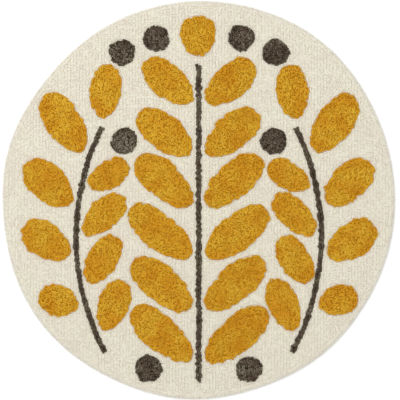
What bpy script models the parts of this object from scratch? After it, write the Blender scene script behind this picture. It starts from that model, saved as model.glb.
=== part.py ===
"""Round tufted cotton rug for a child's room: a low ground pile with taller sprigs of leaves and berries.

Metres, +Z up. The rug lies flat with its underside on Z = 0 and its centre on the Z axis. +Y is the way
in which the middle sprig grows. The rug is one cloth, so it is one solid: the ground pile's slab, with
the fields of taller pile joined to its top face.
"""

import math

import bmesh
import bpy
from mathutils import Vector

# The round outline: a circle pulled slightly out of true by hand sewing.
MEAN_RADIUS = 0.550
OUTLINE_POINTS = 96
OUTLINE_WAVES = (
    # waves round the rim, height as a share of the radius, direction of the first crest in degrees
    (2, 0.0101, 127),
    (3, 0.0035, -131),
    (4, 0.0014, -122),
    (6, 0.0018, -104),
    (7, 0.0027, 49),
    (8, 0.0014, -70),
    (10, 0.0009, -179),
)

# Heights above the floor.
GROUND_TOP = 0.0100
FIELD_TOP = 0.0145
FIELD_ROOT = 0.0040

# Rounding of the pile where it ends.
RIM_ROUND = 0.0060
RIM_SEGMENTS = 3
HEM_SHARE = 0.35
SHOULDER_ROUND = 0.0035
SHOULDER_SEGMENTS = 2

# The design, drawn for its right half: a middle stem and a side stem, with leaves and berries.
STEM_WIDTH = 0.0130
STEM_STEPS = 16
STEMS = {
    # foot x, foot y, heading and bend in degrees, length
    "middle": (0.000, -0.500, 90, 0, 0.870),
    "side": (0.262, -0.420, 62, 54, 0.640),
}
LEAVES = (
    # stem, place along it, turn to the left in degrees, length, width
    ("middle", 0.036, -50, 0.214, 0.101),
    ("middle", 0.180, -50, 0.216, 0.101),
    ("middle", 0.324, -50, 0.212, 0.101),
    ("middle", 0.468, -50, 0.202, 0.101),
    ("middle", 0.612, -50, 0.186, 0.099),
    ("middle", 0.756, -50, 0.166, 0.096),
    ("middle", 0.870, 0, 0.116, 0.098),
    ("side", 0.126, -54, 0.112, 0.086),
    ("side", 0.262, -52, 0.152, 0.098),
    ("side", 0.404, -52, 0.172, 0.102),
    ("side", 0.550, -52, 0.186, 0.102),
    ("side", 0.034, 46, 0.152, 0.086),
    ("side", 0.176, 46, 0.152, 0.086),
    ("side", 0.318, 46, 0.150, 0.084),
    ("side", 0.454, 48, 0.132, 0.078),
    ("side", 0.640, -18, 0.150, 0.090),
)

# A leaf starts this far from its stem's edge, at least: the turn's sine counts as LEAST_SLANT or more.
LEAF_CLEARANCE = 0.0150
LEAST_SLANT = 0.7

# Half a leaf's width, at a share t of its length, is sin(pi t^FULLEST)^BLUNTNESS of its greatest half.
LEAF_STEPS = 11
FULLEST = 1.15
BLUNTNESS = 0.38

BERRY_DIAMETER = 0.075
BERRY_POINTS = 14
BERRIES = (
    # x, y
    (0.118, 0.450),
    (0.214, 0.412),
    (0.208, 0.163),
    (0.140, -0.470),
)

# Handwork: how far lengths, angles and edges stray from the drawing. Turns of the golden angle make
# each piece's unevenness its own.
GOLDEN_TURN = 2.39996
LENGTH_STRAY = 0.025
LENGTH_PHASE = 1.9
ANGLE_STRAY = math.radians(1.6)
ANGLE_PHASE = 0.3
EDGE_STRAY = 0.030
LEAF_EDGE_WAVES = 9.0
BERRY_EDGE_WAVES = 3
STEM_STRAY = 0.10

# Finish of the pile.
COTTON_CREAM = (0.752, 0.701, 0.578, 1.0)
PILE_ROUGHNESS = 0.95

WELD_DISTANCE = 0.00001
FLAT_ANGLE = math.radians(0.5)
SHARP_ANGLE = math.radians(40)
EDGE_ON_FACE = 0.00005


def clear_scene():
    for thing in list(bpy.data.objects):
        bpy.data.objects.remove(thing, do_unlink=True)


def new_collection(name):
    collection = bpy.data.collections.new(name)
    bpy.context.scene.collection.children.link(collection)
    return collection


def rim_radius(angle):
    """The distance from the centre to the rim in one direction."""
    waves = 0.0
    for count, share, crest in OUTLINE_WAVES:
        waves += share * math.cos(count * angle - math.radians(crest))
    return MEAN_RADIUS * (1 + waves)


def stray(number, phase=0.0):
    """A steady unevenness between -1 and 1 for the piece or point of this number."""
    return math.sin(GOLDEN_TURN * number + phase)


def direction(angle):
    return Vector((math.cos(angle), math.sin(angle)))


def stem_place(stem, along):
    """The stem's centre and heading at a distance along it: an arc, or a line if it has no bend."""
    foot_x, foot_y, heading, bend, length = STEMS[stem]
    start = math.radians(heading)
    rate = math.radians(bend) / length
    if not bend:
        return Vector((foot_x, foot_y)) + direction(start) * along, start
    now = start + rate * along
    x = foot_x + (math.sin(now) - math.sin(start)) / rate
    y = foot_y - (math.cos(now) - math.cos(start)) / rate
    return Vector((x, y)), now


def half_leaf(share):
    """Half the leaf's width at a share of its length, as a share of its full half width."""
    return math.sin(math.pi * share**FULLEST) ** BLUNTNESS if 0 < share < 1 else 0.0


def leaf_outline(stem, along, turn, length, width, number):
    """The closed outline of one leaf, up its right edge and down its left."""
    centre, heading = stem_place(stem, along)
    slant = max(math.sin(math.radians(abs(turn))), LEAST_SLANT)
    angle = heading + math.radians(turn) + ANGLE_STRAY * stray(number, ANGLE_PHASE)
    ahead, aside = direction(angle), direction(angle + math.pi / 2)
    base = centre + ahead * (STEM_WIDTH / 2 + LEAF_CLEARANCE) / slant
    length *= 1 + LENGTH_STRAY * stray(number, LENGTH_PHASE)
    shares = [0.5 - 0.5 * math.cos(math.pi * step / LEAF_STEPS) for step in range(LEAF_STEPS + 1)]
    points = []
    for side, run in ((-1, shares), (1, shares[-2:0:-1])):
        for share in run:
            uneven = 1 + EDGE_STRAY * stray(number, side * LEAF_EDGE_WAVES * share)
            out = side * width / 2 * half_leaf(share) * uneven
            points.append(base + ahead * share * length + aside * out)
    return points


def stem_outline(stem):
    """The closed outline of a stem with pointed ends and uneven sides."""
    length = STEMS[stem][4]
    half = STEM_WIDTH / 2
    right, left = [], []
    for step in range(STEM_STEPS + 1):
        centre, heading = stem_place(stem, length * step / STEM_STEPS)
        aside = direction(heading - math.pi / 2)
        right.append(centre + aside * half * (1 + STEM_STRAY * stray(step)))
        left.append(centre - aside * half * (1 + STEM_STRAY * stray(step + STEM_STEPS)))
    foot, foot_heading = stem_place(stem, 0.0)
    end, end_heading = stem_place(stem, length)
    foot_cap = foot - direction(foot_heading) * half
    end_cap = end + direction(end_heading) * half
    return [foot_cap, *right, end_cap, *reversed(left)]


def berry_outline(x, y, number):
    points = []
    for step in range(BERRY_POINTS):
        angle = 2 * math.pi * step / BERRY_POINTS
        uneven = 1 + EDGE_STRAY * stray(number, BERRY_EDGE_WAVES * angle)
        points.append(Vector((x, y)) + direction(angle) * BERRY_DIAMETER / 2 * uneven)
    return points


def mirrored(points):
    """The same outline on the left half, still counter-clockwise."""
    return [Vector((-point.x, point.y)) for point in reversed(points)]


def design_outlines():
    """Every field of taller pile as a closed outline, each with its own unevenness."""
    outlines = [stem_outline("middle"), stem_outline("side"), mirrored(stem_outline("side"))]
    for number, leaf in enumerate(LEAVES):
        outlines.append(leaf_outline(*leaf, number))
        stem, _, turn = leaf[:3]
        if stem == "side" or turn:
            outlines.append(mirrored(leaf_outline(*leaf, number + len(LEAVES))))
    for number, (x, y) in enumerate(BERRIES):
        outlines.append(berry_outline(x, y, number))
        outlines.append(mirrored(berry_outline(x, y, number + len(BERRIES))))
    return outlines


def flat_slab(name, outlines, low, high, collection):
    """Closed outlines filled and given their thickness, as a mesh object with one face on each side."""
    curve = bpy.data.curves.new(name + "_outline", "CURVE")
    curve.dimensions = "2D"
    curve.fill_mode = "BOTH"
    curve.extrude = (high - low) / 2
    for points in outlines:
        spline = curve.splines.new("POLY")
        spline.points.add(len(points) - 1)
        for place, point in zip(spline.points, points):
            place.co = (point.x, point.y, 0.0, 1.0)
        spline.use_cyclic_u = True
    guide = bpy.data.objects.new(name + "_outline", curve)
    guide.location.z = (low + high) / 2
    collection.objects.link(guide)
    bpy.context.view_layer.update()
    evaluated = guide.evaluated_get(bpy.context.evaluated_depsgraph_get())
    mesh = bpy.data.meshes.new_from_object(evaluated)
    mesh.name = name
    slab = bpy.data.objects.new(name, mesh)
    slab.matrix_world = guide.matrix_world.copy()
    collection.objects.link(slab)
    bpy.data.objects.remove(guide, do_unlink=True)
    shape = bmesh.new()
    shape.from_mesh(mesh)
    bmesh.ops.remove_doubles(shape, verts=shape.verts, dist=WELD_DISTANCE)
    bmesh.ops.dissolve_limit(shape, angle_limit=FLAT_ANGLE, verts=shape.verts, edges=shape.edges)
    bmesh.ops.recalc_face_normals(shape, faces=shape.faces)
    shape.to_mesh(mesh)
    shape.free()
    return slab


def round_edges(thing, top_share, bottom_share, width, segments):
    """Bevels the edges round the top and the bottom face, each by its share of the width."""
    mesh = thing.data
    top = max(vertex.co.z for vertex in mesh.vertices)
    bottom = min(vertex.co.z for vertex in mesh.vertices)
    weights = mesh.attributes.new("bevel_weight_edge", "FLOAT", "EDGE")
    for edge in mesh.edges:
        heights = [mesh.vertices[index].co.z for index in edge.vertices]
        if min(heights) > top - EDGE_ON_FACE:
            weights.data[edge.index].value = top_share
        elif max(heights) < bottom + EDGE_ON_FACE:
            weights.data[edge.index].value = bottom_share
    bevel = thing.modifiers.new("Rounded pile", "BEVEL")
    bevel.limit_method = "WEIGHT"
    bevel.width = width
    bevel.segments = segments
    return bevel


def pile_material(name, colour):
    """Cut cotton pile: matt, with no gloss."""
    material = bpy.data.materials.new(name)
    material.use_nodes = True
    shader = material.node_tree.nodes["Principled BSDF"]
    shader.inputs["Base Color"].default_value = colour
    shader.inputs["Roughness"].default_value = PILE_ROUGHNESS
    shader.inputs["Metallic"].default_value = 0.0
    return material


def build_fields(collection):
    """The leaves, stems and berries of taller pile, as one guide that the rug is joined with."""
    fields = flat_slab("taller_fields", design_outlines(), FIELD_ROOT, FIELD_TOP, collection)
    round_edges(fields, 1.0, 0.0, SHOULDER_ROUND, SHOULDER_SEGMENTS)
    fields.hide_render = True
    fields.display_type = "WIRE"
    return fields


def build_rug(collection, fields):
    """The rug: the ground pile's slab with its rounded rim, joined with the taller fields."""
    turns = [2 * math.pi * step / OUTLINE_POINTS for step in range(OUTLINE_POINTS)]
    outline = [direction(turn) * rim_radius(turn) for turn in turns]
    rug = flat_slab("rug", [outline], 0.0, GROUND_TOP, collection)
    round_edges(rug, 1.0, HEM_SHARE, RIM_ROUND, RIM_SEGMENTS)
    union = rug.modifiers.new("Taller pile", "BOOLEAN")
    union.operation = "UNION"
    union.solver = "EXACT"
    union.object = fields
    rug.data.materials.append(pile_material("cut_cotton_pile", COTTON_CREAM))
    rug.data.shade_smooth()
    rug.data.set_sharp_from_angle(angle=SHARP_ANGLE)
    return rug


def main():
    clear_scene()
    parts = new_collection("tufted_rug")
    guides = new_collection("guides")
    build_rug(parts, build_fields(guides))
    bpy.context.view_layer.update()


main()
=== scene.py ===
"""A round tufted cotton rug for a child's room: each end of its cut yarn, its canvas back and the studio.

Metres, +Z up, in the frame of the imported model. The rug lies flat with its underside on Z = 0 and its
centre on the Z axis, and +Y is the way in which the middle sprig grows. The file is laid out as an
add-on: each operator makes one group of pieces, and main() calls them in order.
"""

import math
from collections import defaultdict, namedtuple

import bmesh
import bpy
import numpy as np
from bpy.props import FloatProperty, FloatVectorProperty, IntProperty, PointerProperty
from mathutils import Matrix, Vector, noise


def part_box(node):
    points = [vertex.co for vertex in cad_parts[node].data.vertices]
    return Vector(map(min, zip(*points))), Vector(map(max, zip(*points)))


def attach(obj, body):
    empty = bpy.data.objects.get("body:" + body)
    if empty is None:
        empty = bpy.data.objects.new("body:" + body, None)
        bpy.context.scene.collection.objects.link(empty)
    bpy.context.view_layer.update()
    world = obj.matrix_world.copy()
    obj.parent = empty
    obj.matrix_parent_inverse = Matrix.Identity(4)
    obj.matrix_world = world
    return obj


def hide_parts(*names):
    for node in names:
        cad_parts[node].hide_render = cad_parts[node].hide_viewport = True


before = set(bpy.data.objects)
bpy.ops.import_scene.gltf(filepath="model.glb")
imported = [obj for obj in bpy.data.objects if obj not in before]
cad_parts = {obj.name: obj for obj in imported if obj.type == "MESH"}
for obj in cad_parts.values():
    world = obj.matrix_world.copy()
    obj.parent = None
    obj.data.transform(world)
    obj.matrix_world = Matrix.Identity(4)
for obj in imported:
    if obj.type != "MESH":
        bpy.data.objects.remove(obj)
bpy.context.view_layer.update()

bl_info = {
    "name": "Round Tufted Rug",
    "version": (1, 0, 0),
    "blender": (4, 5, 0),
    "location": "3D View > Sidebar > Tufted Rug",
    "description": "Makes a round tufted cotton rug with leaf sprigs in taller pile",
    "category": "Object",
}

RUG_LOW, RUG_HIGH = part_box("rug")

# The round outline: a circle pulled slightly out of true by hand sewing.
MEAN_RADIUS = 0.550
OUTLINE_WAVES = (
    # waves round the rim, height as a share of the radius, direction of the first crest in degrees
    (2, 0.0101, 127),
    (3, 0.0035, -131),
    (4, 0.0014, -122),
    (6, 0.0018, -104),
    (7, 0.0027, 49),
    (8, 0.0014, -70),
    (10, 0.0009, -179),
)

# The design, drawn for its right half: a middle stem and a side stem, with leaves and berries.
STEM_WIDTH = 0.0130
STEM_STEPS = 16
STEMS = {
    # foot x, foot y, heading and bend in degrees, length
    "middle": (0.000, -0.500, 90, 0, 0.870),
    "side": (0.262, -0.420, 62, 54, 0.640),
}
LEAVES = (
    # stem, place along it, turn to the left in degrees, length, width
    ("middle", 0.036, -50, 0.214, 0.101),
    ("middle", 0.180, -50, 0.216, 0.101),
    ("middle", 0.324, -50, 0.212, 0.101),
    ("middle", 0.468, -50, 0.202, 0.101),
    ("middle", 0.612, -50, 0.186, 0.099),
    ("middle", 0.756, -50, 0.166, 0.096),
    ("middle", 0.870, 0, 0.116, 0.098),
    ("side", 0.126, -54, 0.112, 0.086),
    ("side", 0.262, -52, 0.152, 0.098),
    ("side", 0.404, -52, 0.172, 0.102),
    ("side", 0.550, -52, 0.186, 0.102),
    ("side", 0.034, 46, 0.152, 0.086),
    ("side", 0.176, 46, 0.152, 0.086),
    ("side", 0.318, 46, 0.150, 0.084),
    ("side", 0.454, 48, 0.132, 0.078),
    ("side", 0.640, -18, 0.150, 0.090),
)
LEAF_CLEARANCE = 0.0150
LEAST_SLANT = 0.7
FULLEST = 1.15
BLUNTNESS = 0.38
BERRY_DIAMETER = 0.075
BERRIES = (
    # x, y
    (0.118, 0.450),
    (0.214, 0.412),
    (0.208, 0.163),
    (0.140, -0.470),
)

# Handwork: how far lengths, angles and edges stray from the drawing.
GOLDEN_TURN = 2.39996
DRIFT_LAYER = 17.37
LENGTH_STRAY = 0.025
LENGTH_PHASE = 1.9
ANGLE_STRAY = math.radians(1.6)
ANGLE_PHASE = 0.3
EDGE_STRAY = 0.030
LEAF_EDGE_WAVES = 9.0
BERRY_EDGE_WAVES = 3
STEM_STRAY = 0.10

# How finely outlines are drawn, where they only guide the needle, and how far off a field still counts.
LEAF_POINTS = 32
STEM_POINTS = 96
BERRY_POINTS = 40
RIM_POINTS = 360
NEARBY = 0.02

# The cut end of a yarn: thin at its root, widest where it presses on its neighbours, with a soft blunt tip
# that may lie a little aside. Twice a ring's level on a unit sphere gives its height and half width, as
# shares of the yarn's.
YARN_SIDES = 5
GROUND_PROFILE = {-2: (0.00, 0.00), -1: (0.56, 1.00), 1: (0.90, 0.72), 2: (0.99, 0.00)}
FIELD_PROFILE = {-2: (0.00, 0.00), 0: (0.87, 1.12), 2: (0.99, 0.00)}
TIP_STRAY = 0.40
YARN_SHAPES = 24
YARN_LUMPS = 0.26
YARN_LEVELS = 0.055
ROOT_HEIGHT = 0.0034
# Most cut ends face up and look pale, near 1, and some lie aside and look deep, near 0.
DEEP_TO_PALE = (0.8, 0.4)
# The dyed yarn of the taller pile is finer than the ground's, and stands closer by the same share.
FIELD_YARN = 0.62
# The strands that a yarn is spun from, how much longer they show along the nap than across it, and the
# height in which they change places. They are drawn coarser than real, or else they wouldn't show.
STRAND = 0.0018
NAP = 1.7
STRAND_TURN = 0.006
# How finely a strand frays, in frays to its width, how far the gap between two strands is darkened with
# painted shade, and how far out of a strand's middle that starts and ends.
STRAND_FRAY = 1.3
STRAND_GAP_SHADE = 0.55
STRAND_MIDDLE, STRAND_GAP = 0.35, 0.80
# Patches where the dye took a little unevenly, and the noise's levels between which they differ.
DYE_PATCH = 0.045
DYE_LOW, DYE_HIGH = 0.35, 0.65

# Where the needle goes: how far from an edge the outermost ends stand, how evenly and how closely.
TWIN = 0.24
EDGE_STITCH = 0.85
FIELD_INSET = 0.0045
FIELD_WOBBLE = 0.0054
FIELD_WOBBLE_SIZE = 0.015
STEM_WOBBLE = 0.0042
STEM_WOBBLE_SIZE = 0.010
STEM_ROWS = (-0.28, -0.09, 0.09, 0.28)
STEM_OVERRUN = 0.25
GROUND_REACH = 1.03
GROUND_MARGIN = 0.0018
GROUND_CLEAR = 0.0012
STITCH_JITTER = 0.0006
ROW_JITTER = 0.0004
LEAST_GAP = 0.0037
FILL_GRID = 0.0026

# How cut yarn stands: shears level its top, a few ends are short, it gathers in tufts and to the middle of
# its row, leans out over an edge, and treading lays it over. The low ground and the stems stray less.
LOOSE_LEAN = 0.0006
TUFT_LEAN = 0.0026
TUFT_SIZE = 0.0078
TUFT_RISE = 0.0012
EDGE_LEAN = 0.0018
EDGE_FADE = 0.0060
EDGE_DROP = 0.0016
TREAD_LEAN = 0.0030
TREAD_SIZE = 0.075
TOP_STRAY = 0.0010
SHORT_SHARE = 0.12
SHORT_DROP = (0.0024, 0.0046)
GROUND_CALM = 0.4
GROUND_MOST_DROP = 0.0013
STEM_CALM = 0.9
RIM_STRAY = 0.0004
ROW_LEAN = 0.0006
GROUND_ROW_LEAN = 0.0008

# The close mass of yarn that the ends stand in: how finely it is drawn, how far in from the pile's edge or
# out from a field's outermost ends it stays, and its depth below the tips with the width of its rounding.
BED_STEP = 0.007
BED_BANDS = 3
FIELD_BED_MARGIN = 0.0010
FIELD_BED = (0.0056, 0.0016)
STEM_BED_INSET = 0.0030
GROUND_BED_INSET = 0.0024
GROUND_BED = (0.0026, 0.0040)
# The bed's share of the pile's height, which sets its painted shade, and its yarn between deep and pale.
BED_SHADE_HEIGHT = 0.56
BED_YARN = 0.5

# The turned rim: rows of yarn that fan out round the edge, the lowest just past it, their half width as a
# share of a yarn's width, how closely and evenly they stand, and where the ground takes over from them.
RIM_ROWS = (
    # root inset from the rim, root height, tip inset, tip height
    (0.0044, 0.0032, -0.0002, 0.0068),
    (0.0050, 0.0034, 0.0028, 0.0094),
    (0.0072, 0.0036, 0.0058, 0.0100),
    (0.0098, 0.0036, 0.0088, 0.0100),
)
RIM_YARN = 0.36
RIM_STITCH = 0.9
RIM_TURN_STRAY = 0.0010
RIM_BAND = 0.0116
RIM_BAND_DRIFT = 0.0030
RIM_DRIFT_SIZE = 0.12

# The canvas back: its outline and edge, and the step inwards where its turned edge ends.
BACK_INSET = 0.0042
BACK_POINTS = 192
BACK_EDGE = 0.0012
BACK_EDGE_BANDS = 3
BACK_SHARP_ANGLE = math.radians(50)
HEM_DEPTH = 0.0012
HEM_FOLD = 0.0010
# Its weave: real threads lie about 1 mm apart and wouldn't show, so these lie 2 mm apart. They have
# thicker places and stand out a little. They are painted paler where they do and darker where they sink, as
# painted highlight and shade, and they waver.
THREAD = 0.0020
SLUB = 0.012
THREAD_RELIEF = 0.0004
THREAD_RELIEF_STRENGTH = 0.6
WEAVE_LOW, WEAVE_HIGH = 0.4, 1.6
WEAVE_PAINTED_SHADE, WEAVE_PAINTED_HIGHLIGHT = 0.78, 1.06
THREAD_WAVER = {"Distortion": 0.6, "Detail": 1.0, "Detail Scale": 0.4}
# A plain weave repeats after two threads, and the wave texture after pi / 10 at a scale of 1.
WEAVE_SCALE = math.pi / 10 / 2

# The studio: a long lens straight above, as the picture was taken.
VIEW_WIDTH = 1.1124
CAMERA_PLACE = (0.0035, 0.0004, 4.0)
SENSOR_MILLIMETRES = 36.0
FLOOR_SIDE = 24.0
FLOOR_GAP = 0.0002
KEY_PLACE = (-1.0, 1.1, 3.25)
KEY_SIDE = 2.0
KEY_POWER = 45.0
SKY_STRENGTH = 0.93

# The least length that anything is divided by, and the difference below which heights count as the same.
LEAST_LENGTH = 1e-9
SAME_HEIGHT = 1e-6

# Each group of pieces draws its strays from its own stream of random numbers.
GROUPS = ("ground", "rim", "leaves", "stems", "berries")

# Cotton's sheen is soft, and this level of the hue socket leaves a hue as it is.
SHEEN_ROUGHNESS = 0.6
SAME_HUE = 0.5

# How a pile's colour is painted with its shade: how many times more light passes through dyed fibre in the
# deepest gaps, as painted deeper colour, how much of it is lost there, as painted shadow, the shares of the
# pile's height that are painted deepest and fully lit, how much the gaps' painted shade, single ends and dye
# patches differ, and how far a dye patch's hue turns.
Look = namedtuple("Look", "deepening shadow deep_at lit_at gaps ends dye hue_turn")
GROUND_LOOK = Look(0.50, 0.00, 0.50, 0.90, 0.90, 0.30, 0.10, 0.008)
RIM_LOOK = Look(0.25, 0.00, 0.50, 0.90, 0.20, 0.30, 0.10, 0.008)
LEAF_LOOK = Look(0.86, 0.12, 0.60, 0.92, 0.84, 0.38, 0.35, 0.004)
BERRY_LOOK = Look(2.35, 0.08, 0.60, 0.92, 1.00, 0.50, 0.35, 0.012)
STEM_LOOK = Look(2.20, 0.08, 0.60, 0.92, 1.00, 0.75, 0.35, 0.012)

Field = namedtuple("Field", "outline heading")
Ends = namedtuple("Ends", "root tip level facing half_width yarn")


def linear(hex_colour):
    """An sRGB hex colour as linear red, green, blue and alpha."""
    levels = [int(hex_colour[place : place + 2], 16) / 255 for place in (1, 3, 5)]
    return (*(x / 12.92 if x <= 0.04045 else ((x + 0.055) / 1.055) ** 2.4 for x in levels), 1.0)


def size(name, description, default):
    return FloatProperty(name=name, description=description, default=default, min=0.0, unit="LENGTH")


def colour(name, description, default):
    return FloatVectorProperty(
        name=name, description=description, default=linear(default), size=4, min=0.0, max=1.0, subtype="COLOR"
    )


class TUFTEDRUG_PG_sizes(bpy.types.PropertyGroup):
    """Sizes of the rug's pile and back."""

    ground_top: size("Ground pile", "Height of the low ground pile above the floor", 0.0100)
    field_top: size("Taller pile", "Height of the leaves, stems and berries above the floor", RUG_HIGH.z)
    row: size("Row", "Distance between two rows of stitches, each two ends of yarn wide", 0.0086)
    stitch: size("Stitch", "Distance between two stitches in a row", 0.0048)
    yarn: size("Yarn end", "Width of one end of cut yarn at its widest", 0.0074)
    back_top: size("Back", "Thickness of the canvas back with its turned edge", 0.0048)
    hem: size("Hem", "Width of the canvas turned under round the rim", 0.0260)
    seed: IntProperty(name="Seed", description="Another number gives other strays of the hand", default=7)


class TUFTEDRUG_PG_colours(bpy.types.PropertyGroup):
    """Colours of the yarns, the canvas and the floor."""

    cream: colour("Cream", "Undyed cotton of the ground pile", "#E7E2D4")
    mustard: colour("Mustard", "Dyed cotton of the leaves", "#E3B949")
    charcoal: colour("Charcoal", "Dyed cotton of the stems and berries", "#A59C90")
    canvas: colour("Canvas", "Cotton canvas of the back", "#D8CCB2")
    floor: colour("Floor", "Plain pale floor", "#F7F7F7")


def direction(angle):
    """The unit vector of an angle, or one for each angle."""
    return np.stack([np.cos(angle), np.sin(angle)], axis=-1)


def rim_radius(angle):
    """The distance from the centre to the rim in one direction."""
    waves = sum(
        share * np.cos(count * angle - math.radians(crest)) for count, share, crest in OUTLINE_WAVES
    )
    return MEAN_RADIUS * (1 + waves)


def rim_outline(points, inset=0.0):
    """The rim as a closed outline, drawn in by an inset."""
    angles = np.linspace(0, 2 * math.pi, points, endpoint=False)
    return direction(angles) * (rim_radius(angles) - inset)[:, None]


def stray(number, phase=0.0):
    """A steady unevenness between -1 and 1 for the piece or point of this number."""
    return np.sin(GOLDEN_TURN * number + phase)


def stem_place(stem, along):
    """The stem's centre and heading at distances along it: an arc, or a line if it has no bend."""
    foot_x, foot_y, heading, bend, length = STEMS[stem]
    along = np.asarray(along, float)
    start, rate = math.radians(heading), math.radians(bend) / length
    now = start + rate * along
    if not bend:
        return np.array([foot_x, foot_y]) + direction(now) * along[..., None], now
    x = foot_x + (np.sin(now) - math.sin(start)) / rate
    y = foot_y - (np.cos(now) - math.cos(start)) / rate
    return np.stack([x, y], axis=-1), now


def leaf_field(stem, along, turn, length, width, number):
    """One leaf: its outline, up its right edge and down its left, and the heading of its rows."""
    centre, heading = stem_place(stem, along)
    slant = max(math.sin(math.radians(abs(turn))), LEAST_SLANT)
    angle = heading + math.radians(turn) + ANGLE_STRAY * stray(number, ANGLE_PHASE)
    ahead, aside = direction(angle), direction(angle + math.pi / 2)
    base = centre + ahead * (STEM_WIDTH / 2 + LEAF_CLEARANCE) / slant
    length *= 1 + LENGTH_STRAY * stray(number, LENGTH_PHASE)
    shares = 0.5 - 0.5 * np.cos(np.linspace(0, math.pi, LEAF_POINTS + 1))
    edges = []
    for side, run in ((-1, shares), (1, shares[-2:0:-1])):
        half = width / 2 * np.clip(np.sin(math.pi * run**FULLEST), 0, 1) ** BLUNTNESS
        half *= 1 + EDGE_STRAY * stray(number, side * LEAF_EDGE_WAVES * run)
        edges.append(base + ahead * (run * length)[:, None] + aside * (side * half)[:, None])
    return Field(np.concatenate(edges), float(angle))


def stem_outline(stem):
    """The closed outline of a stem with pointed ends and uneven sides."""
    length, half = STEMS[stem][-1], STEM_WIDTH / 2
    steps = np.linspace(0, STEM_STEPS, STEM_POINTS + 1)
    centres, headings = stem_place(stem, length * steps / STEM_STEPS)
    aside = direction(headings - math.pi / 2)
    right = centres + aside * (half * (1 + STEM_STRAY * stray(steps)))[:, None]
    left = centres - aside * (half * (1 + STEM_STRAY * stray(steps + STEM_STEPS)))[:, None]
    foot_cap = centres[0] - direction(headings[0]) * half
    end_cap = centres[-1] + direction(headings[-1]) * half
    return np.concatenate([[foot_cap], right, [end_cap], left[::-1]])


def berry_field(x, y, number):
    angles = np.linspace(0, 2 * math.pi, BERRY_POINTS, endpoint=False)
    radius = BERRY_DIAMETER / 2 * (1 + EDGE_STRAY * stray(number, BERRY_EDGE_WAVES * angles))
    return Field(np.array([x, y]) + direction(angles) * radius[:, None], math.pi / 2)


def mirrored(field):
    """The same field on the left half, still counter-clockwise."""
    return Field((field.outline * (-1, 1))[::-1], math.pi - field.heading)


def leaf_groups():
    """The leaves of each sprig's left and right side, each with its own unevenness."""
    groups = defaultdict(list)
    for number, leaf in enumerate(LEAVES):
        stem, _, turn = leaf[:3]
        groups[stem + "_right"].append(leaf_field(*leaf, number))
        if stem == "side" or turn:
            groups[stem + "_left"].append(mirrored(leaf_field(*leaf, number + len(LEAVES))))
    return groups


def berry_fields():
    fields = []
    for number, (x, y) in enumerate(BERRIES):
        fields.append(berry_field(x, y, number))
        fields.append(mirrored(berry_field(x, y, number + len(BERRIES))))
    return fields


def stem_fields():
    side = Field(stem_outline("side"), 0.0)
    return [Field(stem_outline("middle"), 0.0), side, mirrored(side)]


def all_fields():
    leaves = [leaf for group in leaf_groups().values() for leaf in group]
    return leaves + berry_fields() + stem_fields()


def edge_of(places, outline):
    """How far each place lies inside a closed outline, and the way out; outside it the depth is negative."""
    run = np.roll(outline, -1, axis=0) - outline
    to_place = places[:, None] - outline
    share = np.clip((to_place * run).sum(2) / (run**2).sum(1), 0, 1)
    away = share[..., None] * run - to_place
    gaps = np.linalg.norm(away, axis=2)
    nearest = gaps.argmin(1)
    rows = np.arange(len(places))
    gap = gaps[rows, nearest]
    above = to_place[..., 1] >= 0
    next_above = np.roll(above, -1, axis=1)
    left = run[:, 0] * to_place[..., 1] - run[:, 1] * to_place[..., 0]
    winding = (above & ~next_above & (left > 0)).sum(1) - (~above & next_above & (left < 0)).sum(1)
    side = np.where(winding != 0, 1.0, -1.0)
    out = away[rows, nearest] * (side / np.maximum(gap, LEAST_LENGTH))[:, None]
    return side * gap, out


def clearance(places, fields):
    """How far each place lies outside the nearest of the fields, or infinity if none is close by."""
    clear = np.full(len(places), np.inf)
    for field in fields:
        low, high = field.outline.min(axis=0) - NEARBY, field.outline.max(axis=0) + NEARBY
        near = ((places > low) & (places < high)).all(axis=1)
        depth, _ = edge_of(places[near], field.outline)
        clear[near] = np.minimum(clear[near], -depth)
    return clear


def random_stream(sizes, group):
    """The random numbers of a group of pieces, the same in each run."""
    return np.random.default_rng([sizes.seed, 1 + GROUPS.index(group)])


def along_outline(outline, gap, inset):
    """Places a gap apart along a closed outline, each moved inwards by its inset, or outwards if negative."""
    closed = np.concatenate([outline, outline[:1]])
    steps = np.linalg.norm(np.diff(closed, axis=0), axis=1)
    reached = np.concatenate([[0], np.cumsum(steps)])
    marks = np.linspace(0, reached[-1], max(3, round(reached[-1] / gap)), endpoint=False)
    places = np.stack([np.interp(marks, reached, closed[:, axis]) for axis in (0, 1)], axis=-1)
    ahead = np.roll(places, -1, axis=0) - np.roll(places, 1, axis=0)
    inward = np.stack([-ahead[:, 1], ahead[:, 0]], axis=-1)
    inward /= np.linalg.norm(inward, axis=1)[:, None]
    return places + inward * np.reshape(inset(places) if callable(inset) else inset, (-1, 1))


def rows_over(middle, reach, heading, offsets, gap, rng):
    """Places in straight rows that run along the heading, over a disc."""
    marks = np.arange(-reach, reach, gap)
    shape = (len(offsets), len(marks))
    along = marks + rng.uniform(0, gap, (len(offsets), 1)) + rng.normal(0, STITCH_JITTER, shape)
    aside = np.reshape(offsets, (-1, 1)) + rng.normal(0, ROW_JITTER, shape)
    ahead, across = direction(heading), direction(heading + math.pi / 2)
    return middle + along.reshape(-1, 1) * ahead + aside.reshape(-1, 1) * across


def twin_rows(reach, row):
    """The offsets of rows that are two ends of yarn wide."""
    middles = row * np.arange(-round(reach / row), round(reach / row) + 1)
    return np.sort(np.concatenate([middles - TWIN * row, middles + TWIN * row]))


def spaced(places, gap):
    """The places that keep a gap to all the kept ones before them."""
    kept, cells = [], defaultdict(list)
    for number, (x, y) in enumerate((places / gap).tolist()):
        column, row = math.floor(x), math.floor(y)
        near = (
            spot
            for i in (column - 1, column, column + 1)
            for j in (row - 1, row, row + 1)
            for spot in cells.get((i, j), ())
        )
        if all((x - u) ** 2 + (y - v) ** 2 >= 1 for u, v in near):
            cells[column, row].append((x, y))
            kept.append(number)
    return places[kept]


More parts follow.
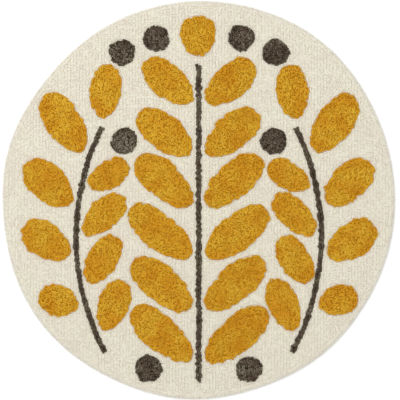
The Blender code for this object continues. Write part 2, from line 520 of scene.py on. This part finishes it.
def drift(places, patch, seed):
    """A slow unevenness in x, y and height, about from -1 to 1, over patches of a size."""
    layers = seed + DRIFT_LAYER * np.arange(3)
    return np.array([[noise.noise((x / patch, y / patch, layer)) for layer in layers] for x, y in places])


def wavering_inset(sizes, margin=0.0):
    """The inset of a field's outermost ends by place, less a margin."""

    def inset(places):
        return FIELD_INSET - margin + FIELD_WOBBLE * drift(places, FIELD_WOBBLE_SIZE, sizes.seed)[:, 0]

    return inset


def field_places(field, sizes, rng):
    """Where the ends of yarn stand in a field: once round its edge, in rows, and in what is left bare."""
    inset = wavering_inset(sizes)
    row, stitch = FIELD_YARN * sizes.row, FIELD_YARN * sizes.stitch
    edge = along_outline(field.outline, stitch * EDGE_STITCH, inset)
    middle = field.outline.mean(axis=0)
    reach = np.linalg.norm(field.outline - middle, axis=1).max()
    rows = rows_over(middle, reach, field.heading, twin_rows(reach, row), stitch, rng)
    fill = rows_over(middle, reach, field.heading, np.arange(-reach, reach, FILL_GRID), FILL_GRID, rng)
    inner = np.concatenate([rows, fill])
    depth, _ = edge_of(inner, field.outline)
    return spaced(np.concatenate([edge, inner[depth > inset(inner)]]), LEAST_GAP * FIELD_YARN)


def stem_places(stem, sizes):
    """Four rows that follow the stem, a little off their line here and there."""
    length = STEMS[stem][-1]
    stitch = FIELD_YARN * sizes.stitch * EDGE_STITCH
    overrun = STEM_WIDTH * STEM_OVERRUN
    marks = np.arange(-overrun, length + overrun, stitch)
    rows = []
    for number, offset in enumerate(STEM_ROWS):
        centres, headings = stem_place(stem, marks + number * stitch / 2)
        rows.append(centres + direction(headings + math.pi / 2) * offset * STEM_WIDTH)
    places = np.concatenate(rows)
    return places + STEM_WOBBLE * drift(places, STEM_WOBBLE_SIZE, sizes.seed)[:, :2]


def row_lean(places, middle, heading, row, reach):
    """How far tips lean across to the middle of their row."""
    across = direction(heading + math.pi / 2)
    offset = (places - middle) @ across
    return -reach * np.sin(2 * math.pi * offset / row)[:, None] * across


def lean_of(places, sizes, rng):
    """How far the tips lean and how far they stay below the shears.

    They lean each by itself, in tufts of a few ends, and in broad trodden patches. They stay below by a
    little each, by tufts, and a few by much."""
    tufts = drift(places, TUFT_SIZE, sizes.seed)
    lean = TREAD_LEAN * drift(places, TREAD_SIZE, sizes.seed)[:, :2] + TUFT_LEAN * tufts[:, :2]
    drop = np.abs(rng.normal(0, TOP_STRAY, len(places))) - TUFT_RISE * tufts[:, 2]
    short = rng.random(len(places)) < SHORT_SHARE
    drop += short * rng.uniform(*SHORT_DROP, len(places))
    return lean + rng.normal(0, LOOSE_LEAN, places.shape), np.maximum(drop, 0)


def field_ends(places, field, calm, sizes, rng):
    """The ends of yarn in a field of taller pile, which lean out over its edge."""
    depth, out = edge_of(places, field.outline)
    near_edge = np.exp(-np.maximum(depth - FIELD_INSET, 0) / EDGE_FADE)
    lean, drop = lean_of(places, sizes, rng)
    lean = calm * lean + out * (EDGE_LEAN * near_edge)[:, None]
    lean += row_lean(places, field.outline.mean(axis=0), field.heading, sizes.row * FIELD_YARN, ROW_LEAN)
    top = sizes.field_top - calm * drop * (1 - near_edge) - EDGE_DROP * near_edge**2
    return yarn_ends(places, lean, top, sizes.field_top, sizes.yarn * FIELD_YARN / 2, rng)


def yarn_ends(places, lean, top, level, half_width, rng):
    """Ends of yarn from their roots' places, the lean of their tips, their height and the pile's level."""
    count = len(places)
    root = np.column_stack([places, np.full(count, ROOT_HEIGHT)])
    tip = np.column_stack([places + lean, top])
    widths = half_width * (1 + rng.uniform(-YARN_LUMPS, YARN_LUMPS, (count, 1)))
    yarn = rng.beta(*DEEP_TO_PALE, count)
    return Ends(root, tip, np.broadcast_to(level, count), rng.uniform(0, 2 * math.pi, count), widths, yarn)


def joined(groups):
    """Several groups of yarn ends as one."""
    return Ends(*(np.concatenate(parts) for parts in zip(*groups)))


def chosen(ends, which):
    return Ends(*(part[which] for part in ends))


def yarn_shapes(profile, rng):
    """Closed shapes of a cut end of yarn, one unit high and of unit half width, with the faces of one."""
    shapes = []
    for _ in range(YARN_SHAPES):
        shape = bmesh.new()
        bmesh.ops.create_uvsphere(shape, u_segments=YARN_SIDES, v_segments=len(profile) - 1, radius=1.0)
        for vertex in shape.verts:
            height, width = profile[round(2 * vertex.co.z)]
            reach = math.hypot(vertex.co.x, vertex.co.y)
            if width:
                scale = width * (1 + rng.uniform(-YARN_LUMPS, YARN_LUMPS)) / reach
                height += rng.uniform(-YARN_LEVELS, YARN_LEVELS)
                vertex.co = (vertex.co.x * scale, vertex.co.y * scale, height)
            else:
                aside = TIP_STRAY * rng.uniform(-1, 1, 2) * height
                vertex.co = (*aside, height)
        corners, faces = corners_and_faces(shape)
        shapes.append(corners)
    return np.array(shapes), faces


def slab(outline, low, high):
    """A closed flat slab of an outline, as a bmesh."""
    shape = bmesh.new()
    bmesh.ops.create_circle(shape, cap_ends=True, segments=len(outline), radius=1.0)
    for vertex, (x, y) in zip(shape.verts, outline):
        vertex.co = (x, y, low)
    bottom = shape.faces[:]
    raised = bmesh.ops.extrude_face_region(shape, geom=bottom, use_keep_orig=True)["geom"]
    top = [thing for thing in raised if isinstance(thing, bmesh.types.BMVert)]
    bmesh.ops.translate(shape, verts=top, vec=(0.0, 0.0, high - low))
    bmesh.ops.recalc_face_normals(shape, faces=shape.faces[:])
    return shape


def level_edges(shape, least_height):
    """The edges of a slab's flat faces that lie at a height or above it."""
    return [
        edge
        for edge in shape.edges
        if min(end.co.z for end in edge.verts) > least_height - SAME_HEIGHT
        and abs(edge.verts[0].co.z - edge.verts[1].co.z) < SAME_HEIGHT
    ]


def round_off(shape, edges, width, bands):
    """Bevels edges to a round of a width, in a number of bands."""
    bmesh.ops.bevel(
        shape,
        geom=edges,
        offset=width,
        offset_type="OFFSET",
        affect="EDGES",
        segments=bands,
        profile=0.5,
        material=-1,
    )


def corners_and_faces(shape):
    """A finished shape's corners and its triangles, as arrays. The shape is freed."""
    bmesh.ops.triangulate(shape, faces=shape.faces[:])
    shape.verts.index_update()
    corners = [tuple(vertex.co) for vertex in shape.verts]
    faces = [[vertex.index for vertex in face.verts] for face in shape.faces]
    shape.free()
    return np.array(corners), np.array(faces)


def bed(outline, inset, pile_top, bed_sizes):
    """The close mass of yarn that a field's ends stand in: its corners and its triangles."""
    below, rounding = bed_sizes
    top = pile_top - below
    shape = slab(along_outline(outline, BED_STEP, inset), ROOT_HEIGHT, top)
    round_off(shape, level_edges(shape, top), rounding, BED_BANDS)
    return corners_and_faces(shape)


def pile_mesh(name, ends, beds, profile, rng):
    """All the yarn ends of a piece and their beds as one joined mesh.

    Its attributes carry how pale each yarn is and how far up the pile a point lies, for the colours and their
    painted shade."""
    corners, faces = yarn_shapes(profile, rng)
    count, sides = len(ends.root), corners.shape[1]
    shape = corners[rng.integers(len(corners), size=count)]
    axis = ends.tip - ends.root
    unit = axis / np.linalg.norm(axis, axis=1)[:, None]
    across = np.column_stack([direction(ends.facing), np.zeros(count)])
    across -= (across * unit).sum(1)[:, None] * unit
    across /= np.linalg.norm(across, axis=1)[:, None]
    beside = np.cross(unit, across)
    points = ends.root[:, None] + shape[..., 2:] * axis[:, None]
    points += shape[..., :1] * (across * ends.half_width)[:, None]
    points += shape[..., 1:2] * (beside * ends.half_width)[:, None]
    above_root = points[..., 2] - ends.root[:, 2:]
    yarn = [np.repeat(ends.yarn, sides)]
    up = [(above_root / (ends.level - ends.root[:, 2])[:, None]).reshape(-1)]
    triangles = [(faces + sides * np.arange(count)[:, None, None]).reshape(-1, 3)]
    points = [points.reshape(-1, 3)]
    placed = count * sides
    for bed_corners, bed_faces in beds:
        triangles.append(bed_faces + placed)
        points.append(bed_corners)
        yarn.append(np.full(len(bed_corners), BED_YARN))
        up.append(np.full(len(bed_corners), BED_SHADE_HEIGHT))
        placed += len(bed_corners)
    loops = np.concatenate(triangles).reshape(-1)
    mesh = bpy.data.meshes.new(name)
    mesh.vertices.add(placed)
    mesh.vertices.foreach_set("co", np.concatenate(points).reshape(-1))
    mesh.loops.add(len(loops))
    mesh.loops.foreach_set("vertex_index", loops)
    mesh.polygons.add(len(loops) // 3)
    mesh.polygons.foreach_set("loop_start", np.arange(0, len(loops), 3))
    mesh.update(calc_edges=True)
    mesh.shade_smooth()
    for title, values in (("yarn", yarn), ("up_the_pile", up)):
        values = np.concatenate(values)
        mesh.attributes.new(title, "FLOAT", "POINT").data.foreach_set("value", values)
    return mesh


def add_piece(mesh, material):
    """A finished piece at the origin, which rides with the rug and shows in its solid's place."""
    piece = bpy.data.objects.new(mesh.name, mesh)
    bpy.context.scene.collection.objects.link(piece)
    mesh.materials.append(material)
    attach(piece, "root")
    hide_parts("rug")
    return piece


def add_node(tree, kind, inputs=None, **settings):
    """Adds a node with its settings, and fills each input with a value or a link."""
    node = tree.nodes.new(kind)
    for name, value in settings.items():
        setattr(node, name, value)
    for name, value in (inputs or {}).items():
        if isinstance(value, bpy.types.NodeSocket):
            tree.links.new(value, node.inputs[name])
        else:
            node.inputs[name].default_value = value
    return node


def new_material(name, roughness, specular, sheen):
    """A named material with an empty base, and its shader."""
    material = bpy.data.materials.get(name) or bpy.data.materials.new(name)
    material.use_nodes = True
    tree = material.node_tree
    tree.nodes.clear()
    shader = add_node(tree, "ShaderNodeBsdfPrincipled", {"Roughness": roughness, "Metallic": 0.0})
    shader.inputs["Specular IOR Level"].default_value = specular
    shader.inputs["Sheen Weight"].default_value = sheen
    shader.inputs["Sheen Roughness"].default_value = SHEEN_ROUGHNESS
    add_node(tree, "ShaderNodeOutputMaterial", {"Surface": shader.outputs["BSDF"]})
    return material, tree, shader


def cut_cotton_pile(name, tip, look):
    """Cut cotton yarn, dyed in the hank: matt, and paler at its brushed tip, partly as painted shade lower
    down.

    Further down, and on the darker ends, light passes through dyed fibres again and again. Each pass
    multiplies it by their colour, so the gaps are painted deeper and more saturated. They are painted darker
    too, as painted shade, because less light gets out of them. From near, each end is a bundle of upright
    strands."""
    material, tree, shader = new_material(name, roughness=0.95, specular=0.03, sheen=0.02)
    own = add_node(tree, "ShaderNodeTexCoord").outputs["Object"]
    yarn = add_node(tree, "ShaderNodeAttribute", attribute_name="yarn").outputs["Fac"]
    up = add_node(tree, "ShaderNodeAttribute", attribute_name="up_the_pile").outputs["Fac"]
    upright = add_node(
        tree, "ShaderNodeMapping", {"Vector": own, "Scale": (1 / STRAND, 1 / (NAP * STRAND), 1 / STRAND_TURN)}
    ).outputs["Vector"]
    fray = add_node(
        tree, "ShaderNodeTexNoise", {"Vector": upright, "Scale": STRAND_FRAY, "Detail": 2.0}
    ).outputs["Color"]
    frayed = add_node(tree, "ShaderNodeVectorMath", {0: upright, 1: fray}, operation="ADD").outputs[0]
    strands = add_node(tree, "ShaderNodeTexVoronoi", {"Vector": frayed, "Scale": 1.0}).outputs["Distance"]
    dye = add_node(
        tree, "ShaderNodeTexNoise", {"Vector": own, "Scale": 1 / DYE_PATCH, "Detail": 1.0}
    ).outputs["Fac"]
    # What dims a place: an end that lies aside, painted shade in a gap between strands, the dye, and
    # painted shade for depth in the pile.
    light = 1.0
    for cause, deepest_at, lightest_at, dimming, kind in (
        (yarn, 0.0, 1.0, look.ends, "LINEAR"),
        (strands, STRAND_GAP, STRAND_MIDDLE, STRAND_GAP_SHADE, "LINEAR"),
        (dye, DYE_LOW, DYE_HIGH, look.dye, "LINEAR"),
        (up, look.deep_at, look.lit_at, look.gaps, "SMOOTHSTEP"),
    ):
        ranges = {"From Min": deepest_at, "From Max": lightest_at, "To Min": 1 - dimming, "To Max": 1.0}
        lit = add_node(
            tree, "ShaderNodeMapRange", {"Value": cause, **ranges}, interpolation_type=kind
        ).outputs["Result"]
        light = add_node(tree, "ShaderNodeMath", {0: light, 1: lit}, operation="MULTIPLY").outputs[0]
    # Painted deeper colour: the dimmer a place, the more times its colour is multiplied into itself.
    passes = add_node(
        tree, "ShaderNodeMapRange", {"Value": light, "To Min": 1 + look.deepening, "To Max": 1.0}
    ).outputs["Result"]
    passed = add_node(tree, "ShaderNodeGamma", {"Color": list(tip), "Gamma": passes}).outputs["Color"]
    turns = {"To Min": SAME_HUE - look.hue_turn, "To Max": SAME_HUE + look.hue_turn}
    tone = add_node(
        tree, "ShaderNodeMapRange", {"Value": dye, "From Min": DYE_LOW, "From Max": DYE_HIGH, **turns}
    ).outputs["Result"]
    # Painted shadow: the dimmer a place, the darker its colour.
    shaded = add_node(
        tree, "ShaderNodeMapRange", {"Value": light, "To Min": 1 - look.shadow, "To Max": 1.0}
    ).outputs["Result"]
    coloured = add_node(
        tree, "ShaderNodeHueSaturation", {"Hue": tone, "Value": shaded, "Color": passed}
    ).outputs["Color"]
    bump = add_node(
        tree, "ShaderNodeBump", {"Strength": 1.0, "Distance": STRAND / 2, "Height": strands}, invert=True
    ).outputs["Normal"]
    tree.links.new(coloured, shader.inputs["Base Color"])
    tree.links.new(bump, shader.inputs["Normal"])
    return material


def woven_canvas(name, thread_colour):
    """Plain woven cotton canvas, unbleached: a matt cloth whose threads pass over and under one by one."""
    material, tree, shader = new_material(name, roughness=0.9, specular=0.2, sheen=0.05)
    own = add_node(tree, "ShaderNodeTexCoord").outputs["Object"]
    flat = add_node(
        tree, "ShaderNodeMapping", {"Vector": own, "Scale": (1 / THREAD, 1 / THREAD, 0.0)}
    ).outputs["Vector"]
    bands = {"Vector": flat, "Scale": WEAVE_SCALE, **THREAD_WAVER}
    waves = [
        add_node(tree, "ShaderNodeTexWave", bands, bands_direction=way).outputs["Fac"] for way in ("X", "Y")
    ]
    over = add_node(tree, "ShaderNodeTexChecker", {"Vector": flat, "Scale": 1.0}).outputs["Fac"]
    weave = add_node(tree, "ShaderNodeMix", {0: over, 2: waves[0], 3: waves[1]}).outputs[0]
    slubs = add_node(
        tree, "ShaderNodeTexNoise", {"Vector": own, "Scale": 1 / SLUB, "Detail": 3.0}
    ).outputs["Fac"]
    height = add_node(tree, "ShaderNodeMath", {0: weave, 1: slubs}, operation="ADD").outputs[0]
    # Painted shade where the weave sinks and painted highlight where it stands out.
    ranges = {"From Min": WEAVE_LOW, "From Max": WEAVE_HIGH, "To Min": WEAVE_PAINTED_SHADE, "To Max": WEAVE_PAINTED_HIGHLIGHT}
    shade = add_node(tree, "ShaderNodeMapRange", {"Value": height, **ranges}).outputs["Result"]
    coloured = add_node(
        tree, "ShaderNodeHueSaturation", {"Value": shade, "Color": list(thread_colour)}
    ).outputs["Color"]
    relief = {"Strength": THREAD_RELIEF_STRENGTH, "Distance": THREAD_RELIEF, "Height": height}
    bump = add_node(tree, "ShaderNodeBump", relief).outputs["Normal"]
    tree.links.new(coloured, shader.inputs["Base Color"])
    tree.links.new(bump, shader.inputs["Normal"])
    return material


def ground_places(sizes, rng):
    """Where the ends of the ground stand: inside the rim, round every field, in upright rows, and in what
    is left bare."""
    fields = all_fields()
    rim = rim_outline(RIM_POINTS)

    def band(places):
        return RIM_BAND + RIM_BAND_DRIFT * drift(places, RIM_DRIFT_SIZE, sizes.seed)[:, 0]

    guides = [along_outline(rim, sizes.stitch, band)]
    guides += [along_outline(field.outline, sizes.stitch, -GROUND_MARGIN) for field in fields]
    reach = MEAN_RADIUS * GROUND_REACH
    upright = math.pi / 2
    rows = rows_over(np.zeros(2), reach, upright, twin_rows(reach, sizes.row), sizes.stitch, rng)
    fill = rows_over(np.zeros(2), reach, upright, np.arange(-reach, reach, FILL_GRID), FILL_GRID, rng)
    places = np.concatenate([*guides, rows, fill])
    depth = rim_radius(np.arctan2(places[:, 1], places[:, 0])) - np.linalg.norm(places, axis=1)
    places = places[depth > RIM_BAND - RIM_BAND_DRIFT]
    return spaced(places[clearance(places, fields) > GROUND_CLEAR], LEAST_GAP)


def add_ground_pile(sizes, colours):
    """Low cream pile between the fields, calmer than the taller pile."""
    rng = random_stream(sizes, "ground")
    places = ground_places(sizes, rng)
    lean, drop = lean_of(places, sizes, rng)
    lean = GROUND_CALM * lean + row_lean(places, np.zeros(2), math.pi / 2, sizes.row, GROUND_ROW_LEAN)
    top = sizes.ground_top - np.minimum(GROUND_CALM * drop, GROUND_MOST_DROP)
    ends = yarn_ends(places, lean, top, sizes.ground_top, sizes.yarn / 2, rng)
    cream = cut_cotton_pile("cream_cut_cotton", colours.cream, GROUND_LOOK)
    beds = {"middle": [bed(rim_outline(RIM_POINTS), GROUND_BED_INSET, sizes.ground_top, GROUND_BED)]}
    order = np.argsort(ends.root[:, 0])
    for side, part in zip(("left", "middle", "right"), np.array_split(order, 3)):
        mesh = pile_mesh("ground_pile_" + side, chosen(ends, part), beds.get(side, []), GROUND_PROFILE, rng)
        add_piece(mesh, cream)


def add_rim_pile(sizes, colours):
    """Cream yarn that fans out round the turned edge."""
    rng = random_stream(sizes, "rim")
    groups = []
    for root_inset, root_height, tip_inset, tip_height in RIM_ROWS:
        count = round(2 * math.pi * MEAN_RADIUS / (sizes.stitch * RIM_STITCH))
        angles = np.linspace(0, 2 * math.pi, count, endpoint=False)
        angles += rng.normal(0, RIM_TURN_STRAY, count)
        out, radius = direction(angles), rim_radius(angles)
        root = out * (radius - root_inset)[:, None]
        tip = out * (radius - tip_inset + rng.normal(0, RIM_STRAY, count))[:, None]
        heights = tip_height + rng.normal(0, RIM_STRAY, count)
        ends = yarn_ends(root, tip - root, heights, heights, sizes.yarn * RIM_YARN, rng)
        ends.root[:, 2] = root_height
        groups.append(ends)
    cream = cut_cotton_pile("cream_rim_cotton", colours.cream, RIM_LOOK)
    add_piece(pile_mesh("rim_pile", joined(groups), [], GROUND_PROFILE, rng), cream)


def add_fields(name, places, fields, calm, bed_inset, material, sizes, rng):
    """One piece of taller pile from its fields and where the ends of each stand."""
    ends = [field_ends(spots, field, calm, sizes, rng) for spots, field in zip(places, fields)]
    beds = [bed(field.outline, bed_inset, sizes.field_top, FIELD_BED) for field in fields]
    add_piece(pile_mesh(name, joined(ends), beds, FIELD_PROFILE, rng), material)


def add_leaf_pile(sizes, colours):
    """Mustard leaves of taller pile, their rows along their length."""
    rng = random_stream(sizes, "leaves")
    mustard = cut_cotton_pile("mustard_cut_cotton", colours.mustard, LEAF_LOOK)
    inset = wavering_inset(sizes, FIELD_BED_MARGIN)
    for name, leaves in leaf_groups().items():
        places = [field_places(leaf, sizes, rng) for leaf in leaves]
        add_fields("leaf_pile_" + name, places, leaves, 1.0, inset, mustard, sizes, rng)


def add_stem_pile(sizes, colours):
    """Charcoal stems, four rows of taller pile wide."""
    rng = random_stream(sizes, "stems")
    charcoal = cut_cotton_pile("charcoal_stem_cotton", colours.charcoal, STEM_LOOK)
    places = [stem_places("middle", sizes), stem_places("side", sizes)]
    places.append(places[1] * (-1, 1))
    inset = STEM_BED_INSET
    add_fields("stem_pile", places, stem_fields(), STEM_CALM, inset, charcoal, sizes, rng)


def add_berry_pile(sizes, colours):
    """Charcoal berries of taller pile."""
    rng = random_stream(sizes, "berries")
    charcoal = cut_cotton_pile("charcoal_berry_cotton", colours.charcoal, BERRY_LOOK)
    berries = berry_fields()
    places = [field_places(berry, sizes, rng) for berry in berries]
    inset = wavering_inset(sizes, FIELD_BED_MARGIN)
    add_fields("berry_pile", places, berries, 1.0, inset, charcoal, sizes, rng)


def add_canvas_back(sizes, colours):
    """The canvas that the yarn is tufted through, with its edge turned under as a hem."""
    outline = rim_outline(BACK_POINTS, BACK_INSET)
    shape = slab(outline, RUG_LOW.z, RUG_LOW.z + sizes.back_top)
    rims = level_edges(shape, RUG_LOW.z)
    round_off(shape, rims, BACK_EDGE, BACK_EDGE_BANDS)
    lowest = min(face.calc_center_median().z for face in shape.faces)
    under = [face for face in shape.faces if face.calc_center_median().z < lowest + SAME_HEIGHT]
    bmesh.ops.inset_region(shape, faces=under, thickness=sizes.hem, depth=0.0, use_even_offset=True)
    bmesh.ops.inset_region(shape, faces=under, thickness=HEM_FOLD, depth=-HEM_DEPTH, use_even_offset=True)
    mesh = bpy.data.meshes.new("canvas_back")
    shape.to_mesh(mesh)
    shape.free()
    mesh.shade_smooth()
    mesh.set_sharp_from_angle(angle=BACK_SHARP_ANGLE)
    back = add_piece(mesh, woven_canvas("woven_cotton_canvas", colours.canvas))
    ahead = np.roll(outline, -1, axis=0)
    area = 0.5 * float((outline[:, 0] * ahead[:, 1] - outline[:, 1] * ahead[:, 0]).sum())
    across = outline.max(axis=0) - outline.min(axis=0)
    float(across[0])
    float(across[1])


def add_stage(colours):
    """A plain pale floor, a white sky, a soft key light from the upper left and the camera above."""
    shape = bmesh.new()
    bmesh.ops.create_grid(shape, x_segments=1, y_segments=1, size=FLOOR_SIDE / 2)
    bmesh.ops.translate(shape, verts=shape.verts, vec=(0.0, 0.0, RUG_LOW.z - FLOOR_GAP))
    mesh = bpy.data.meshes.new("floor")
    shape.to_mesh(mesh)
    shape.free()
    floor = bpy.data.objects.new("floor", mesh)
    bpy.context.scene.collection.objects.link(floor)
    material, _, shader = new_material("matt_pale_floor", roughness=0.9, specular=0.1, sheen=0.0)
    shader.inputs["Base Color"].default_value = colours.floor
    mesh.materials.append(material)
    world = bpy.data.worlds.new("white_studio")
    world.use_nodes = True
    sky = world.node_tree.nodes["Background"]
    sky.inputs["Color"].default_value = (1.0, 1.0, 1.0, 1.0)
    sky.inputs["Strength"].default_value = SKY_STRENGTH
    bpy.context.scene.world = world
    lamp = bpy.data.lights.new("key_light", "AREA")
    lamp.shape = "SQUARE"
    lamp.size = KEY_SIDE
    lamp.energy = KEY_POWER
    key = bpy.data.objects.new("key_light", lamp)
    key.location = KEY_PLACE
    key.rotation_euler = (-key.location).to_track_quat("-Z", "Y").to_euler()
    bpy.context.scene.collection.objects.link(key)
    lens = bpy.data.cameras.new("camera")
    lens.sensor_width = SENSOR_MILLIMETRES
    lens.lens = SENSOR_MILLIMETRES * (CAMERA_PLACE[2] - RUG_HIGH.z) / VIEW_WIDTH
    camera = bpy.data.objects.new("camera", lens)
    camera.location = CAMERA_PLACE
    bpy.context.scene.collection.objects.link(camera)
    bpy.context.scene.camera = camera
    bpy.context.scene.view_settings.view_transform = "Standard"


class TUFTEDRUG_OT_ground_pile(bpy.types.Operator):
    """Tuft the low cream ground between the leaves"""

    bl_idname = "tufted_rug.ground_pile"
    bl_label = "Ground Pile"

    def execute(self, context):
        add_ground_pile(context.scene.tufted_rug_sizes, context.scene.tufted_rug_colours)
        return {"FINISHED"}


class TUFTEDRUG_OT_rim_pile(bpy.types.Operator):
    """Fan cream yarn out round the turned rim"""

    bl_idname = "tufted_rug.rim_pile"
    bl_label = "Rim Pile"

    def execute(self, context):
        add_rim_pile(context.scene.tufted_rug_sizes, context.scene.tufted_rug_colours)
        return {"FINISHED"}


class TUFTEDRUG_OT_leaf_pile(bpy.types.Operator):
    """Tuft the mustard leaves of the three sprigs"""

    bl_idname = "tufted_rug.leaf_pile"
    bl_label = "Leaf Pile"

    def execute(self, context):
        add_leaf_pile(context.scene.tufted_rug_sizes, context.scene.tufted_rug_colours)
        return {"FINISHED"}


class TUFTEDRUG_OT_stem_pile(bpy.types.Operator):
    """Tuft the charcoal stems"""

    bl_idname = "tufted_rug.stem_pile"
    bl_label = "Stem Pile"

    def execute(self, context):
        add_stem_pile(context.scene.tufted_rug_sizes, context.scene.tufted_rug_colours)
        return {"FINISHED"}


class TUFTEDRUG_OT_berry_pile(bpy.types.Operator):
    """Tuft the charcoal berries"""

    bl_idname = "tufted_rug.berry_pile"
    bl_label = "Berry Pile"

    def execute(self, context):
        add_berry_pile(context.scene.tufted_rug_sizes, context.scene.tufted_rug_colours)
        return {"FINISHED"}


class TUFTEDRUG_OT_canvas_back(bpy.types.Operator):
    bl_idname = "tufted_rug.canvas_back"
    bl_label = "Canvas Back"

    def execute(self, context):
        add_canvas_back(context.scene.tufted_rug_sizes, context.scene.tufted_rug_colours)
        return {"FINISHED"}


class TUFTEDRUG_OT_stage(bpy.types.Operator):
    """Set up the floor, the lights and the camera"""

    bl_idname = "tufted_rug.stage"
    bl_label = "Stage"

    def execute(self, context):
        add_stage(context.scene.tufted_rug_colours)
        return {"FINISHED"}


STEPS = (
    TUFTEDRUG_OT_ground_pile,
    TUFTEDRUG_OT_rim_pile,
    TUFTEDRUG_OT_leaf_pile,
    TUFTEDRUG_OT_stem_pile,
    TUFTEDRUG_OT_berry_pile,
    TUFTEDRUG_OT_canvas_back,
    TUFTEDRUG_OT_stage,
)


class TUFTEDRUG_PT_panel(bpy.types.Panel):
    """The rug's operators and settings"""

    bl_idname = "TUFTEDRUG_PT_panel"
    bl_label = "Tufted Rug"
    bl_space_type = "VIEW_3D"
    bl_region_type = "UI"
    bl_category = "Tufted Rug"

    def draw(self, context):
        column = self.layout.column(align=True)
        for settings in (context.scene.tufted_rug_sizes, context.scene.tufted_rug_colours):
            for name in settings.__annotations__:
                column.prop(settings, name)
            column.separator()
        for step in STEPS:
            column.operator(step.bl_idname)


CLASSES = (TUFTEDRUG_PG_sizes, TUFTEDRUG_PG_colours, *STEPS, TUFTEDRUG_PT_panel)


def register():
    for made in CLASSES:
        bpy.utils.register_class(made)
    bpy.types.Scene.tufted_rug_sizes = PointerProperty(type=TUFTEDRUG_PG_sizes)
    bpy.types.Scene.tufted_rug_colours = PointerProperty(type=TUFTEDRUG_PG_colours)


def unregister():
    del bpy.types.Scene.tufted_rug_colours
    del bpy.types.Scene.tufted_rug_sizes
    for made in reversed(CLASSES):
        bpy.utils.unregister_class(made)


def main():
    register()
    bpy.ops.tufted_rug.ground_pile()
    bpy.ops.tufted_rug.rim_pile()
    bpy.ops.tufted_rug.leaf_pile()
    bpy.ops.tufted_rug.stem_pile()
    bpy.ops.tufted_rug.berry_pile()
    bpy.ops.tufted_rug.canvas_back()
    bpy.ops.tufted_rug.stage()


if __name__ == "__main__":
    main()
